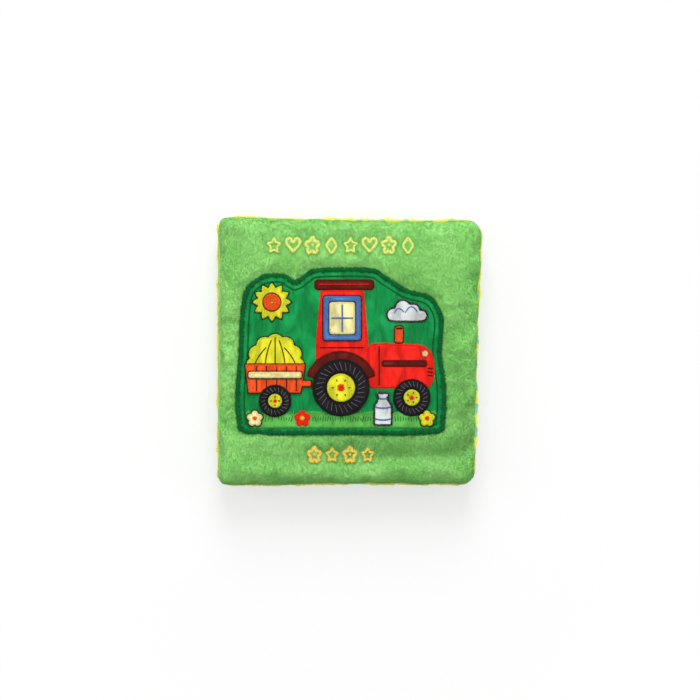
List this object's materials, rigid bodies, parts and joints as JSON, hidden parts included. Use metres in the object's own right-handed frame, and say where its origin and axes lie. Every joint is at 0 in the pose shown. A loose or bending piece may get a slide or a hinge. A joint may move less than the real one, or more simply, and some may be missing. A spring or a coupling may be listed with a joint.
{
  "type": "crinkle cloth book",
  "caption": "Square padded baby's cloth book with plush covers, crinkle film inside, turning padded leaves and a sewn patch picture on its front cover.",
  "frame": {"origin": "middle of the closed book's bounding box, on the surface that the back cover lies on", "axes": "+X from the spine to the fore-edge, +Y towards the head of the pages, +Z out of the front cover"},
  "size_m": [0.1632, 0.1642, 0.0321],
  "materials": {
    "green_plush": "short pile plush",
    "yellow_lining": "plain woven cotton",
    "white_batting": "polyester fibre filling",
    "crinkle_film": "thin crinkled film",
    "yellow_edge_thread": "overcast polyester thread",
    "sky_blue_cloth": "printed cotton",
    "sun_yellow_cloth": "printed cotton",
    "dark_green_satin": "satin",
    "dark_green_thread": "satin stitch",
    "meadow_satin": "satin",
    "red_satin": "satin",
    "maroon_satin": "satin",
    "yellow_satin": "satin",
    "orange_satin": "satin",
    "blue_satin": "satin",
    "cream_satin": "satin",
    "white_satin": "satin",
    "black_satin": "satin",
    "pale_yellow_thread": "embroidery thread",
    "golden_thread": "embroidery thread"
  },
  "bodies": {
    "back_cover": {"back_plush": "green_plush", "back_batting": "white_batting", "back_crinkle_film": "crinkle_film", "back_lining": "yellow_lining", "back_edge_stitch": "yellow_edge_thread", "spine_seam_cord": "yellow_edge_thread"},
    "second_leaf": {"second_leaf_front_cloth": "sun_yellow_cloth", "second_leaf_back_cloth": "sky_blue_cloth", "second_leaf_batting": "white_batting", "second_leaf_crinkle_film": "crinkle_film", "second_leaf_edge_stitch": "yellow_edge_thread"},
    "first_leaf": {"first_leaf_front_cloth": "sun_yellow_cloth", "first_leaf_back_cloth": "sky_blue_cloth", "first_leaf_batting": "white_batting", "first_leaf_crinkle_film": "crinkle_film", "first_leaf_edge_stitch": "yellow_edge_thread"},
    "front_cover": {"front_plush": "green_plush", "front_batting": "white_batting", "front_crinkle_film": "crinkle_film", "front_lining": "yellow_lining", "front_edge_stitch": "yellow_edge_thread", "patch_base": "dark_green_satin", "patch_border": "dark_green_thread", "meadow": "meadow_satin", "tractor_bonnet": "red_satin", "tractor_cab": "red_satin", "tractor_roof": "maroon_satin", "hay_load": "yellow_satin", "sun": "yellow_satin", "cloud": "white_satin", "tractor_exhaust": "orange_satin", "tractor_fender": "maroon_satin", "window_frame": "blue_satin", "window_pane": "cream_satin", "trailer_box": "orange_satin", "bonnet_stripe": "maroon_satin", "milk_churn": "white_satin", "trailer_slat": "cream_satin", "flower_left": "cream_satin", "flower_middle": "red_satin", "flower_right": "yellow_satin", "rear_tyre": "black_satin", "rear_hub": "yellow_satin", "front_tyre": "black_satin", "front_hub": "yellow_satin", "trailer_tyre": "black_satin", "trailer_hub": "yellow_satin", "head_motif_1": "pale_yellow_thread", "head_motif_2": "pale_yellow_thread", "head_motif_3": "pale_yellow_thread", "head_motif_4": "pale_yellow_thread", "head_motif_5": "pale_yellow_thread", "head_motif_6": "pale_yellow_thread", "head_motif_7": "pale_yellow_thread", "head_motif_8": "pale_yellow_thread", "foot_motif_1": "golden_thread", "foot_motif_2": "golden_thread", "foot_motif_3": "golden_thread", "foot_motif_4": "golden_thread"}
  },
  "joints": [
    {"name": "second_leaf_turn", "type": "hinge", "parent": "back_cover", "child": "second_leaf", "pos_m": [-0.07965, 0, 0.01435], "axis": [0, -1, 0], "range_deg": [0, 180]},
    {"name": "first_leaf_turn", "type": "hinge", "parent": "second_leaf", "child": "first_leaf", "pos_m": [-0.07965, 0, 0.01435], "axis": [0, -1, 0], "range_deg": [0, 180]},
    {"name": "front_cover_turn", "type": "hinge", "parent": "first_leaf", "child": "front_cover", "pos_m": [-0.07965, 0, 0.01435], "axis": [0, -1, 0], "range_deg": [0, 180]}
  ]
}
